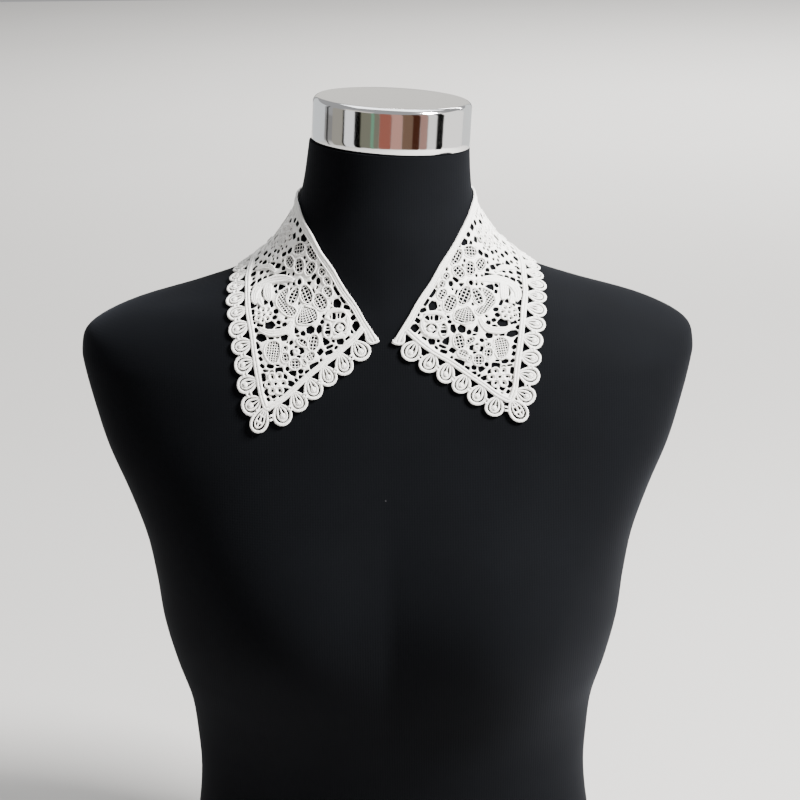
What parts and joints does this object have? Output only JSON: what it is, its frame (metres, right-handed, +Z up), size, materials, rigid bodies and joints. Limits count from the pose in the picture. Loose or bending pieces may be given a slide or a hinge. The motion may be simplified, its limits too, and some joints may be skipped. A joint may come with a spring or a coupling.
{
  "type": "lace collar on a dress form",
  "caption": "Pointed flat lace collar with flower motifs and a scalloped petal edge, lying round the neck of a limbless fabric-covered dress form with a metal neck cap.",
  "frame": {"origin": "middle of the form's flat underside, on the axis of the neck and waist", "axes": "+Z up along the form, -Y the way the form and the collar's open front face, +X the wearer's left"},
  "size_m": [0.4006, 0.2415, 0.5945],
  "materials": {
    "white_lace": "white embroidery thread, satin stitched ribbons over an open ground",
    "black_jersey": "fine matt knit stretched over the form",
    "chrome": "bright polished plate"
  },
  "bodies": {
    "root": {"lace_left": "white_lace", "lace_right": "white_lace", "form_torso": "black_jersey", "neck_cap": "chrome"}
  },
  "joints": []
}
